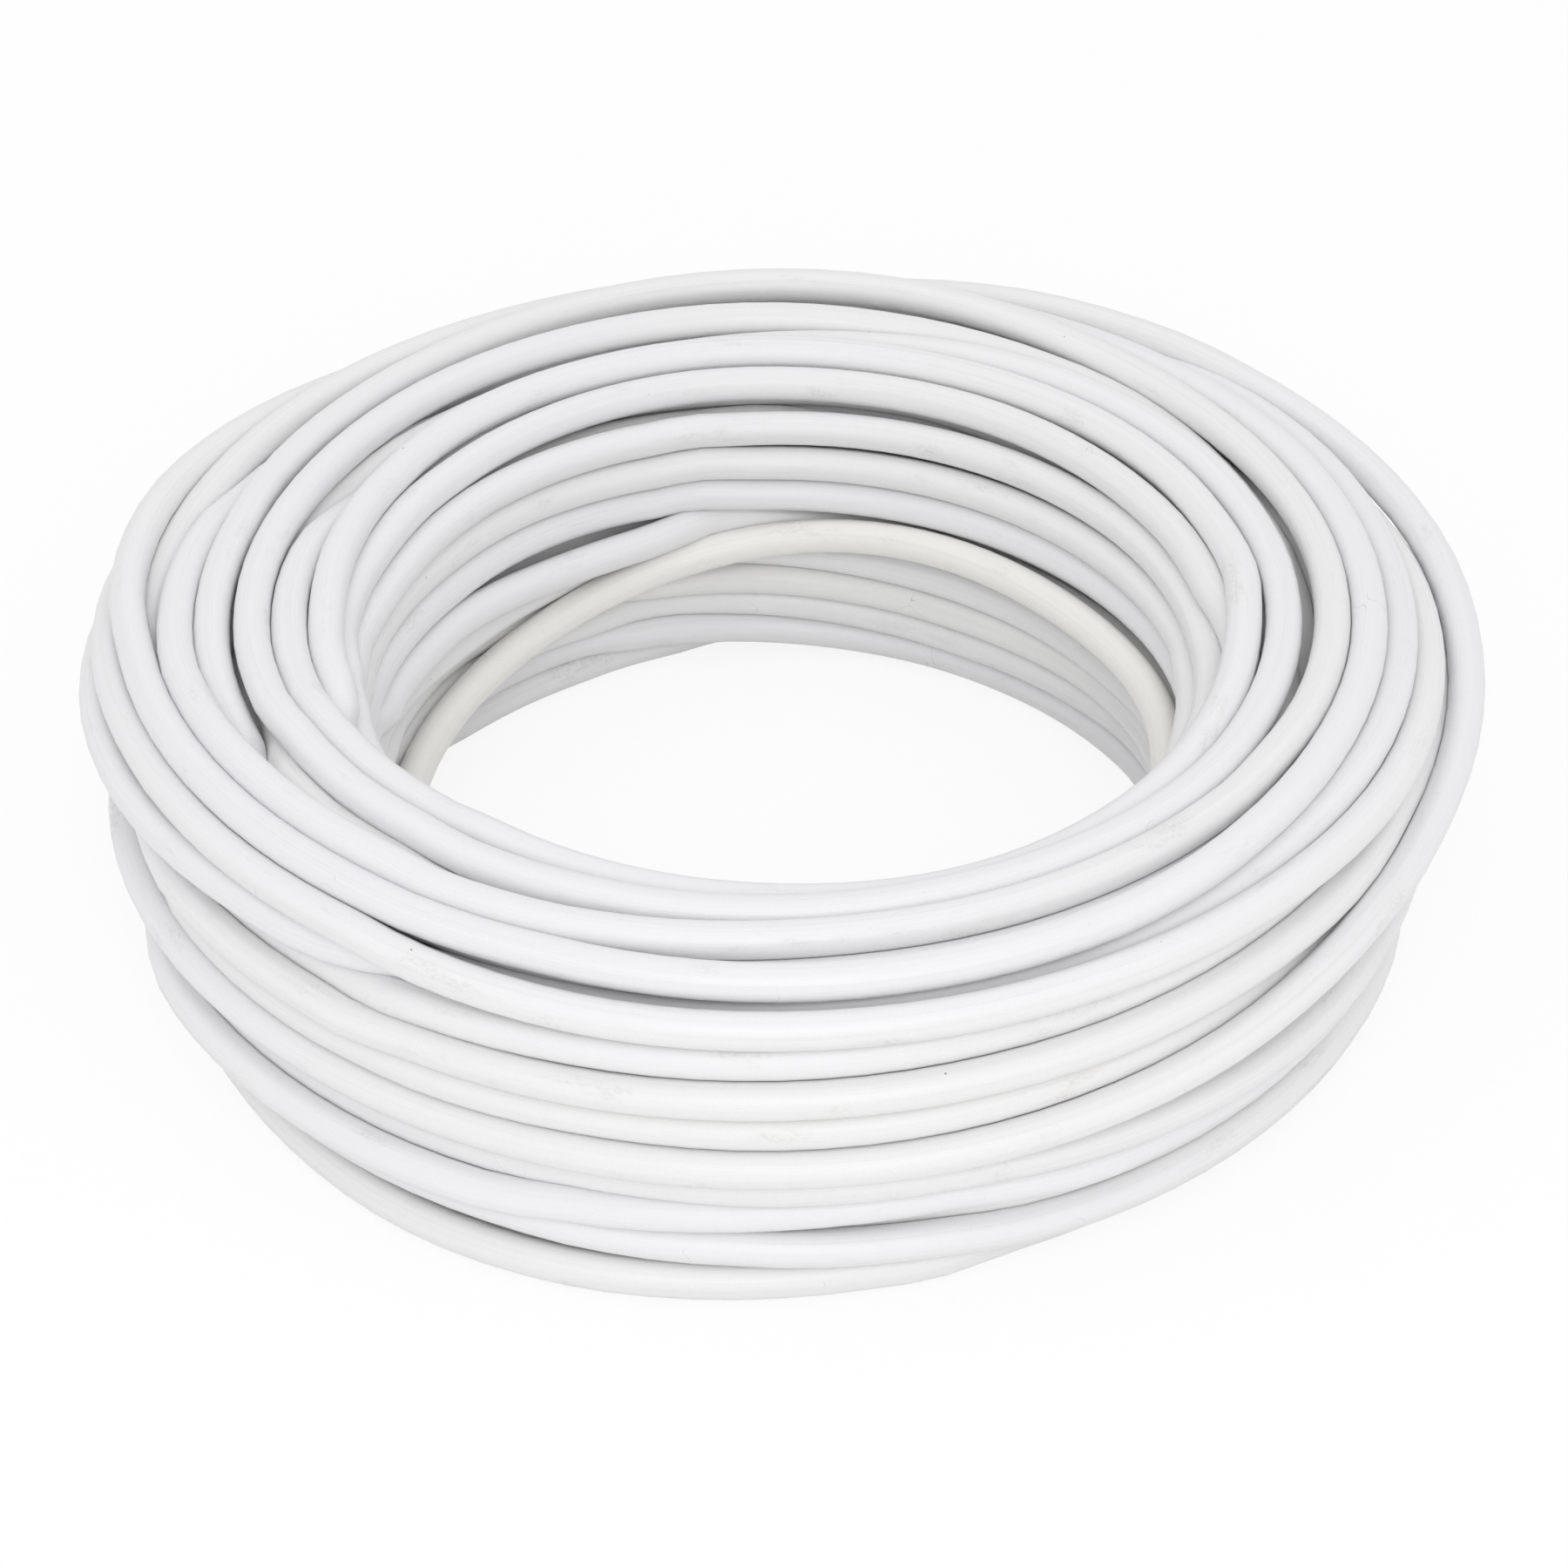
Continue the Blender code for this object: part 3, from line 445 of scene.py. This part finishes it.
def settled_winding():
    """The cable's points, in turns and in (radius, height), once the turns have settled."""
    planned = planned_points()
    first = int(np.ceil(planned[0, 0] * STATIONS))
    last = int(np.floor(planned[-1, 0] * STATIONS))
    turns = np.arange(first, last + 1) / STATIONS
    azimuths = FIRST_AZIMUTH - 360 * turns
    fixed = (turns < EYE_STRETCH_END) | (turns > planned[-len(BEHIND_THE_COIL), 0])
    shows = np.interp(turns, planned[:, 0], planned[:, 3]) ** 2
    shows[fixed] = 1.0
    plan = np.stack([np.interp(turns, planned[:, 0], planned[:, n]) for n in (1, 2)], axis=1)
    seen, buried = blurred(plan, SEEN_SOFTENING), blurred(plan, BURIED_SOFTENING)
    plan = seen * shows[:, None] + buried * (1 - shows[:, None])
    places = plan.copy()
    ease = np.where(fixed, 0.0, 1.0 - FREEDOM_LOST * shows)[:, None]
    hold = (HOLD * shows)[:, None]
    drum = pile_radius(azimuths, 0.0) - EYE_SLACK
    for step in range(SETTLING_STEPS):
        late = step / SETTLING_STEPS
        if step % SEARCH_EVERY == 0:
            one, other = near_turns(places)
            both = np.maximum(ease[one, 0] + ease[other, 0], 1e-9)
            share_one, share_other = ease[one, 0] / both, ease[other, 0] / both
        # turns that overlap push each other off, the freer one further
        apart = places[other] - places[one]
        far = np.sqrt((apart**2).sum(1)) + 1e-9
        push = np.maximum(SPACING - far, 0.0) / far
        moves = np.zeros_like(places)
        for axis in (0, 1):
            shove = push * apart[:, axis]
            moves[:, axis] -= np.bincount(one, shove * share_one, len(places))
            moves[:, axis] += np.bincount(other, shove * share_other, len(places))
        places += PUSH * moves
        # what shows keeps to its place, and what is buried sinks under its weight
        places += hold * (1 - HOLD_LOST * late) * (plan - places)
        places[:, 1] -= SINK * (1 - late) * (1 - shows)
        # the cable is stiff, so it takes the kinks out of itself
        if step % 2 == 0 and late < STIFF_UNTIL:
            stiffness = FIRST_STIFFNESS if late < STIFFER_UNTIL else LAST_STIFFNESS
            straighter = blurred(places, stiffness)
            places += STRAIGHTENING * ease * (straighter - places)
        # the floor, and the drum that it was wound on
        places[:, 1] = np.maximum(places[:, 1], ON_THE_FLOOR)
        on_drum = np.maximum(places[:, 0], drum)
        places[:, 0] = np.where(fixed | (shows > SEEN_ENOUGH), places[:, 0], on_drum)
    return turns, places


# ---------------------------------------------------------------------------
# The sheath: soft white PVC, extruded in one length round three twisted cores, and
# cut flush at both ends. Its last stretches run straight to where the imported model
# has the cores, and each cut face is open at the three bores that hold them.

CORD_DIAMETER = 0.0082
CORE_ROLES = ("line", "neutral", "earth")
CORE_BORE_RADIUS = 0.00145
BORE_DEPTH = 0.013
BORE_MARGIN = 0.001  # straight cable past the floors of the bores
LEAD_IN = 0.003  # the least gap in which the winding swings into line with an end
SIDES = 16  # of the round tube
SHARP_ANGLE = math.radians(50.0)  # an edge that turns by more than this stays crisp

coil_low, coil_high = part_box("buried_turns")
COIL_AXIS = (Vector(coil_low) + Vector(coil_high)) / 2


def in_metres(turns, places):
    """Points in the frame, for places along the cable in diameters round the coil."""
    azimuths = np.radians(FIRST_AZIMUTH - 360.0 * turns)
    radii = places[:, 0] * CORD_DIAMETER
    across = COIL_AXIS.x + radii * np.cos(azimuths)
    back = COIL_AXIS.y + radii * np.sin(azimuths)
    return np.stack([across, back, places[:, 1] * CORD_DIAMETER], axis=1)


def vertices_of(piece):
    return np.array([corner.co for corner in piece.data.vertices])


def main_axes(points, middle):
    """The directions in which points lie round their middle, the longest first."""
    return np.linalg.svd(points - middle, full_matrices=False)[2]


def end_cores(name):
    """Where an end's cores lie: middle, direction, half of their length, and each middle."""
    points = [vertices_of(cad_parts[f"{name}_{role}_core"]) for role in CORE_ROLES]
    middles = np.array([(core.min(axis=0) + core.max(axis=0)) / 2 for core in points])
    middle = middles.mean(axis=0)
    every = np.concatenate(points)
    direction = main_axes(every, middle)[0]
    return middle, direction, np.abs((every - middle) @ direction).max(), middles


def with_cut_end(line, name):
    """The line led on, straight, through an end's cores; its cut face, facing and bores."""
    middle, facing, half_length, bores = end_cores(name)
    if (middle - line[-1]) @ facing < 0:
        facing = -facing
    face = middle + half_length * facing
    straight = [face - facing * back for back in (BORE_DEPTH + BORE_MARGIN, BORE_DEPTH / 2, 0.0)]
    while (line[-1] - straight[0]) @ facing > -LEAD_IN:
        line = line[:-1]
    return np.concatenate([line, straight]), face, facing, bores


line, outer_face, outer_facing, outer_bores = with_cut_end(
    in_metres(*settled_winding()), "outer_end"
)
line, inner_face, inner_facing, inner_bores = with_cut_end(line[::-1], "inner_end")
line = line[::-1]
lengthwise = np.concatenate([[0.0], np.cumsum(np.linalg.norm(np.diff(line, axis=0), axis=1))])
cable_length = float(lengthwise[-1])

# the tube, a ring of corners round each point of the line
tangents = np.gradient(line, axis=0)
tangents[0], tangents[-1] = line[1] - line[0], line[-1] - line[-2]
tangents /= np.linalg.norm(tangents, axis=1)[:, None]
up = np.array([0.0, 0.0, 1.0]) - tangents * tangents[:, 2:3]
up /= np.linalg.norm(up, axis=1)[:, None]
side = np.cross(tangents, up)
around = 2 * np.pi * np.arange(SIDES) / SIDES
upward, sideways = CORD_DIAMETER / 2 * np.cos(around), CORD_DIAMETER / 2 * np.sin(around)
rings = (
    line[:, None, :]
    + upward[None, :, None] * up[:, None, :]
    + sideways[None, :, None] * side[:, None, :]
)
corners = np.arange(len(line) * SIDES).reshape(len(line), SIDES)
beside = np.roll(corners, -1, axis=1)
quads = np.stack([corners[:-1], corners[1:], beside[1:], beside[:-1]], axis=2).reshape(-1, 4)
mesh = bpy.data.meshes.new("cable")
mesh.from_pydata(rings.reshape(-1, 3).tolist(), [], quads.tolist())

# where each corner would be on the cable pulled straight, for the material to follow
laid = np.stack(
    [np.broadcast_to(part, corners.shape) for part in (upward, sideways, lengthwise[:, None])],
    axis=2,
)
laid_straight = mesh.attributes.new("laid_straight", "FLOAT_VECTOR", "POINT")
laid_straight.data.foreach_set("vector", laid.reshape(-1).astype(np.float32))

shape = bmesh.new()
shape.from_mesh(mesh)
shape.verts.ensure_lookup_table()
straight_layer = shape.verts.layers.float_vector["laid_straight"]


def next_in(ring):
    """Each corner of a ring with the next one round it."""
    return zip(ring, ring[1:] + ring[:1])


def close_end(ring, face, facing, bores, along):
    """Closes an end with a flat cut face and the walls and floors of its three bores."""
    edges = [shape.edges.get(pair) for pair in next_in(ring)]
    for bore in bores:
        centre = bore - ((bore - face) @ facing) * facing
        first = (centre - face) / np.linalg.norm(centre - face)
        second = np.cross(facing, first)
        mouth, floor = [], []
        for angle in around:
            spoke = CORE_BORE_RADIUS * (math.cos(angle) * first + math.sin(angle) * second)
            for depth, made in ((0.0, mouth), (BORE_DEPTH, floor)):
                point = shape.verts.new(centre + spoke - depth * facing)
                point[straight_layer] = Vector((*spoke[:2], along - depth))
                made.append(point)
        for (one, two), (low_one, low_two) in zip(next_in(mouth), next_in(floor)):
            shape.faces.new([one, two, low_two, low_one])
        shape.faces.new(floor)
        edges += [shape.edges.get(pair) for pair in next_in(mouth)]
    bmesh.ops.triangle_fill(shape, edges=edges, use_beauty=True, normal=Vector(facing))


first_ring, last_ring = ([shape.verts[n] for n in row] for row in (corners[0], corners[-1]))
close_end(first_ring, inner_face, inner_facing, inner_bores, 0.0)
close_end(last_ring, outer_face, outer_facing, outer_bores, cable_length)
bmesh.ops.recalc_face_normals(shape, faces=shape.faces)
shape.to_mesh(mesh)
shape.free()
mesh.shade_smooth()
mesh.set_sharp_from_angle(angle=SHARP_ANGLE)
cable = bpy.data.objects.new("cable", mesh)
bpy.context.scene.collection.objects.link(cable)


class Wire:
    """A value in a material's nodes, on which sums are written as in Python."""

    def __init__(self, sheet, socket):
        self.sheet, self.socket = sheet, socket

    def math(self, operation, *values):
        settings = {"operation": operation}
        return self.sheet.node("ShaderNodeMath", settings, dict(enumerate(values)))

    def __add__(self, other):
        return self.math("ADD", self, other)

    def __sub__(self, other):
        return self.math("SUBTRACT", self, other)

    def __rsub__(self, other):
        return self.math("SUBTRACT", other, self)

    def __mul__(self, other):
        return self.math("MULTIPLY", self, other)

    __radd__, __rmul__ = __add__, __mul__

    def size(self):
        """The value without its sign."""
        return self.math("ABSOLUTE", self)

    def between(self, low, high):
        """0 below low, 1 above high, and a smooth rise from one to the other."""
        settings = {"interpolation_type": "SMOOTHSTEP"}
        values = {"Value": self, "From Min": low, "From Max": high}
        return self.sheet.node("ShaderNodeMapRange", settings, values)


class NodeSheet:
    """The nodes of a finish or of the studio, each added by the one method node."""

    def __init__(self, owner):
        owner.use_nodes = True
        self.nodes = owner.node_tree.nodes
        self.links = owner.node_tree.links

    def node(self, kind, settings=None, values=None, output=0):
        """Adds a node: its type, its settings, its sockets' values or links, and what it gives."""
        made = self.nodes.new(kind)
        for name, setting in (settings or {}).items():
            setattr(made, name, setting)
        self.fill(made, values or {})
        return Wire(self, made.outputs[output])

    def fill(self, made, values):
        for name, value in values.items():
            socket = made.inputs[name]
            if isinstance(value, Wire):
                self.links.new(value.socket, socket)
            else:
                socket.default_value = value


class Finish(NodeSheet):
    """A material, whose surface is set on its one shader."""

    def __init__(self, name):
        self.material = bpy.data.materials.new(name)
        super().__init__(self.material)

    def vector(self, operation, one, two, output=0):
        """Vector maths, with the second value as a vector or a link to one."""
        settings = {"operation": operation}
        return self.node("ShaderNodeVectorMath", settings, {0: one, 1: two}, output)

    def noise(self, spot, scale, detail=2.0, roughness=0.5):
        values = {"Vector": spot, "Scale": scale, "Detail": detail, "Roughness": roughness}
        return self.node("ShaderNodeTexNoise", {}, values)

    def mix(self, share, one, two):
        """One colour where the share is 0 and the other where it is 1."""
        settings = {"data_type": "RGBA"}
        return self.node("ShaderNodeMix", settings, {0: share, 6: one, 7: two}, output=2)

    def bump(self, height, distance, strength):
        values = {"Height": height, "Distance": distance, "Strength": strength}
        return self.node("ShaderNodeBump", {}, values)

    def surface(self, values):
        self.fill(self.nodes["Principled BSDF"], values)


def tint(red, green, blue):
    return (red, green, blue, 1.0)


sheath = Finish("sheath_white")
spot_on_cable = sheath.node("ShaderNodeAttribute", {"attribute_name": "laid_straight"}, output=1)
along_cable = sheath.node("ShaderNodeSeparateXYZ", {}, {0: spot_on_cable}, output=2)


def sheath_noise(across, lengthwise, detail=2.0, roughness=0.5):
    """Noise on the straight cable: features per metre across it and lengthwise."""
    spot = sheath.vector("MULTIPLY", spot_on_cable, (across, across, lengthwise))
    return sheath.noise(spot, 1.0, detail, roughness)


def specks(per_metre, radius):
    """1 on small round specks, this many to a metre each way and of this size in metres."""
    values = {0: spot_on_cable, 3: per_metre}
    spot = sheath.node("ShaderNodeVectorMath", {"operation": "SCALE"}, values)
    reach = sheath.node("ShaderNodeTexVoronoi", {}, {"Vector": spot, "Scale": 1.0})
    return 1.0 - reach.between(0.55 * radius * per_metre, radius * per_metre)


FRESH_WHITE = tint(0.86, 0.862, 0.876)
WARM_WHITE = tint(0.872, 0.867, 0.836)
# creamier than the rest of the sheath, and lighter as painted light, for the stretch across the eye
CREAM_AND_PAINTED_LIGHT_WHITE = tint(0.925, 0.915, 0.87)
GRIME = tint(0.42, 0.39, 0.33)
SPECK = tint(0.06, 0.05, 0.045)

# the PVC is mixed in batches of slightly different white
WARM_SHARE = 0.45
batch = sheath_noise(0.0, 1.7, detail=1.0).between(0.36, 0.64)
sheath_colour = sheath.mix(batch * WARM_SHARE, FRESH_WHITE, WARM_WHITE)

# the stretch that lies out across the eye has aged to a creamier white, and is also painted
# lighter: painted light, for the light it lacks down in the eye
EYE_STRETCH = 0.62  # its length from the first end, in metres
CREAM_AND_PAINTED_LIGHT_SHARE = 0.9
past_eye_stretch = along_cable.between(EYE_STRETCH - 0.05, EYE_STRETCH + 0.12)
# painted light: this white is brighter than the rest, to make up for the light the stretch lacks in
# the eye
sheath_colour = sheath.mix((1.0 - past_eye_stretch) * CREAM_AND_PAINTED_LIGHT_SHARE, sheath_colour, CREAM_AND_PAINTED_LIGHT_WHITE)

# fine and broad lines that the extruder's die draws along the sheath
FINE_LINE_SHARE, BROAD_LINE_SHARE = 0.07, 0.05
fine_lines = sheath_noise(2600.0, 9.0, detail=3.0, roughness=0.6)
broad_lines = sheath_noise(620.0, 5.0, detail=1.0)
fine_dark = (1.0 - fine_lines.between(0.30, 0.50)) * FINE_LINE_SHARE
broad_dark = (1.0 - broad_lines.between(0.30, 0.55)) * BROAD_LINE_SHARE
sheath_colour = sheath.mix(fine_dark + broad_dark, sheath_colour, GRIME)

# handling marks: soft smudges along the cable, mottled by finer dirt
SMUDGE_SHARE = 0.22
where_handled = sheath_noise(130.0, 38.0, detail=3.0, roughness=0.6).between(0.60, 0.74)
mottle = sheath_noise(1500.0, 900.0).between(0.42, 0.62)
smudge = where_handled * (mottle * 0.75 + 0.25)
sheath_colour = sheath.mix(smudge * SMUDGE_SHARE, sheath_colour, GRIME)

# specks of dirt, and finer ones that are moulded in
DIRT_SHARE, FLECK_SHARE = 0.8, 0.4
sheath_colour = sheath.mix(specks(74.0, 0.00030) * DIRT_SHARE, sheath_colour, SPECK)
sheath_colour = sheath.mix(specks(300.0, 0.00013) * FLECK_SHARE, sheath_colour, GRIME)

# hairs and scratches: where one noise crosses its middle, in a few places only
HAIR_SHARE = 0.25
off_middle = (sheath_noise(190.0, 150.0, detail=0.0) - 0.5).size()
few_places = sheath_noise(75.0, 60.0, detail=0.0).between(0.76, 0.79)
hair = (1.0 - off_middle.between(0.002, 0.006)) * few_places
sheath_colour = sheath.mix(hair * HAIR_SHARE, sheath_colour, SPECK)

# the satin grain of the PVC's skin
GRAIN_SHARE = 0.06
grain = sheath_noise(3600.0, 3600.0, detail=1.0)
sheath_colour = sheath.mix((1.0 - grain.between(0.25, 0.65)) * GRAIN_SHARE, sheath_colour, GRIME)

# what stands proud of the skin, and how glossy it is
RELIEF_HEIGHT, RELIEF_STRENGTH = 0.00009, 0.55
waviness = sheath_noise(260.0, 90.0)
relief = grain * 0.25 + fine_lines * 0.35 + broad_lines * 0.5 + waviness * 1.2
sheath.surface(
    {
        "Base Color": sheath_colour,
        "Roughness": 0.32 + fine_lines * 0.10 + smudge * 0.16 + grain * 0.06,
        "Normal": sheath.bump(relief, RELIEF_HEIGHT, RELIEF_STRENGTH),
    }
)
mesh.materials.append(sheath.material)

CABLE_NODES = ("buried_turns", "outer_turns", "inner_stretch", "outer_stretch")
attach(cable, "root")
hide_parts(*CABLE_NODES)

# ---------------------------------------------------------------------------
# The cores at the two cut ends: PVC in the colours of line, neutral and earth, each
# extruded over a bunch of about thirty bare copper wires, and sheared off with the
# sheath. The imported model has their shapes, so they only get their finishes here.

CORE_COLOURS = {
    "line": (tint(0.19, 0.075, 0.03), tint(0.13, 0.05, 0.022)),
    "neutral": (tint(0.02, 0.13, 0.42), tint(0.014, 0.09, 0.32)),
    "earth": (tint(0.03, 0.25, 0.06), tint(0.02, 0.18, 0.04)),
}
EARTH_YELLOW = tint(0.75, 0.62, 0.04)
YELLOW_HALF = (1.72, 1.78)  # where green gives way to yellow, in radians round the core
CUT_DUST = tint(0.5, 0.48, 0.45)
BRIGHT_COPPER = tint(0.93, 0.52, 0.33)
DULL_COPPER = tint(0.62, 0.28, 0.16)
# painted shade for the hollows between the wire ends
PAINTED_SHADE_BETWEEN_WIRES = tint(0.12, 0.05, 0.03)
WIRES_PER_METRE = 4200.0  # side by side, a quarter of a millimetre thick
END_BUMP_STRENGTH = 0.6


class EndFinish(Finish):
    """A finish for a core that lies round an axis: its look runs along and round it."""

    def __init__(self, name, piece):
        super().__init__(name)
        points = vertices_of(piece)
        middle = (points.min(axis=0) + points.max(axis=0)) / 2
        anywhere = self.node("ShaderNodeTexCoord", output="Object")
        self.spot = self.vector("SUBTRACT", anywhere, tuple(middle))
        self.along, self.first, self.second = (
            self.vector("DOT_PRODUCT", self.spot, tuple(axis), output=1)
            for axis in main_axes(points, middle)
        )


def insulation(piece, name, role):
    """Dyed PVC; the earth core has a yellow half along its green."""
    finish = EndFinish(name, piece)
    plain, deep = CORE_COLOURS[role]
    dye = finish.mix(finish.noise(finish.spot, 900.0).between(0.35, 0.65), plain, deep)
    if role == "earth":
        sides = {0: finish.second, 1: finish.first}
        round_it = finish.node("ShaderNodeMath", {"operation": "ARCTAN2"}, sides)
        dye = finish.mix(round_it.size().between(*YELLOW_HALF), EARTH_YELLOW, dye)
    skin = finish.noise(finish.spot, 5000.0)
    dye = finish.mix(skin.between(0.55, 0.75) * 0.15, dye, CUT_DUST)
    finish.surface(
        {
            "Base Color": dye,
            "Roughness": 0.34 + skin * 0.2,
            "Normal": finish.bump(skin, 0.00003, END_BUMP_STRENGTH),
        }
    )
    return finish.material


def bare_copper(piece, name):
    """Bunched wires, sheared across."""
    finish = EndFinish(name, piece)
    sides = {0: finish.first, 1: finish.second, 2: finish.along * 0.02}
    across = finish.node("ShaderNodeCombineXYZ", {}, sides)
    wires = {"Vector": across, "Scale": WIRES_PER_METRE}
    # the hollows between the wire ends are painted dark as painted shade, and the same mask sinks
    # them in the bump
    gap = finish.node("ShaderNodeTexVoronoi", {}, wires).between(0.28, 0.52)
    tarnish = finish.noise(finish.spot, 2200.0, detail=3.0).between(0.42, 0.62)
    copper = finish.mix(tarnish, BRIGHT_COPPER, DULL_COPPER)
    finish.surface(
        {
            "Base Color": finish.mix(gap * 0.8, copper, PAINTED_SHADE_BETWEEN_WIRES),
            "Metallic": 1.0,
            "Roughness": 0.26 + tarnish * 0.2,
            "Normal": finish.bump(1.0 - gap, 0.00012, END_BUMP_STRENGTH),
        }
    )
    return finish.material


for end in ("inner_end", "outer_end"):
    for role in CORE_ROLES:
        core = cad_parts[f"{end}_{role}_core"]
        core.material_slots[0].material = insulation(core, f"{end}_{role}_insulation", role)
        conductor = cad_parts[f"{end}_{role}_conductor"]
        conductor.material_slots[0].material = bare_copper(conductor, f"{end}_{role}_copper")

# ---------------------------------------------------------------------------
# The stage: the coil lies on a wide sheet of pale paper, lit from under so that the
# paper looks white, in a studio with a plain sky. A weak soft lamp hangs overhead and
# a stronger one stands in front, and the camera looks down at the coil from there.

scene = bpy.context.scene
scene.view_settings.view_transform = "Standard"

FLOOR_SIZE = 8.0
FLOOR_DROP = 0.0002  # the paper gives this much under the coil
WHITE = tint(1.0, 1.0, 1.0)
PALE_PAPER = tint(0.88, 0.88, 0.87)
GLOW_SHARE = 0.85  # of the light that is seen from the paper, what comes from under it
SKY = tint(0.985, 0.98, 1.0)
SKY_STRENGTH = 0.85

edge = FLOOR_SIZE / 2
floor_corners = [(-edge, -edge, 0), (edge, -edge, 0), (edge, edge, 0), (-edge, edge, 0)]
floor_mesh = bpy.data.meshes.new("floor")
floor_mesh.from_pydata(floor_corners, [], [(0, 1, 2, 3)])
floor = bpy.data.objects.new("floor", floor_mesh)
floor.location.z = -FLOOR_DROP
scene.collection.objects.link(floor)


def seen_itself(sheet):
    """1 where the stage itself is seen: straight on, in a gloss or through a glass."""
    rays = ("Is Camera Ray", "Is Glossy Ray", "Is Transmission Ray")
    straight, in_gloss, through = (sheet.node("ShaderNodeLightPath", output=ray) for ray in rays)
    return (straight + in_gloss + through).between(0.0, 1.0)


def either(sheet, share, one, two):
    """One shader where the share is 0 and the other where it is 1."""
    return sheet.node("ShaderNodeMixShader", {}, {0: share, 1: one, 2: two})


paper = Finish("floor_paper")
lit_paper = paper.node("ShaderNodeBsdfDiffuse", {}, {"Color": WHITE})
glow = paper.node("ShaderNodeEmission", {}, {"Color": WHITE, "Strength": 1.0})
light_table = either(paper, GLOW_SHARE, lit_paper, glow)
plain_paper = paper.node("ShaderNodeBsdfDiffuse", {}, {"Color": PALE_PAPER})
paper_look = either(paper, seen_itself(paper), plain_paper, light_table)
paper.fill(paper.nodes["Material Output"], {"Surface": paper_look})
floor_mesh.materials.append(paper.material)

scene.world = bpy.data.worlds.new("studio")
studio = NodeSheet(scene.world)
sky = studio.node("ShaderNodeBackground", {}, {"Color": SKY, "Strength": SKY_STRENGTH})
white_behind = studio.node("ShaderNodeBackground", {}, {"Color": WHITE, "Strength": 1.0})
studio_look = either(studio, seen_itself(studio), sky, white_behind)
studio.fill(studio.nodes["World Output"], {"Surface": studio_look})


def soft_lamp(name, place, size, power):
    """A square lamp of this size and power, at this place, that faces the coil."""
    data = bpy.data.lights.new(name, "AREA")
    data.size, data.energy = size, power
    lamp = bpy.data.objects.new(name, data)
    lamp.location = place
    lamp.rotation_euler = (COIL_AXIS - Vector(place)).to_track_quat("-Z", "Y").to_euler()
    scene.collection.objects.link(lamp)


soft_lamp("overhead", (-0.15, 0.25, 1.3), 0.7, 0.6)
soft_lamp("front", (0.05, -1.12, 0.86), 0.8, 4.2)

CAMERA_ELEVATION = math.radians(36.9)
CAMERA_DISTANCE = 128.58 * CORD_DIAMETER
AIM_HEIGHT = 4.5 * CORD_DIAMETER
LENS, SENSOR_WIDTH = 106.71, 36.0
SHIFT_ACROSS, SHIFT_UP = 0.0030, -0.0126
camera_data = bpy.data.cameras.new("camera")
camera_data.lens, camera_data.sensor_width = LENS, SENSOR_WIDTH
camera_data.shift_x, camera_data.shift_y = SHIFT_ACROSS, SHIFT_UP
camera = bpy.data.objects.new("camera", camera_data)
camera.location = (
    COIL_AXIS.x,
    COIL_AXIS.y - CAMERA_DISTANCE * math.cos(CAMERA_ELEVATION),
    AIM_HEIGHT + CAMERA_DISTANCE * math.sin(CAMERA_ELEVATION),
)
camera.rotation_euler = (math.pi / 2 - CAMERA_ELEVATION, 0.0, 0.0)
scene.collection.objects.link(camera)
scene.camera = camera
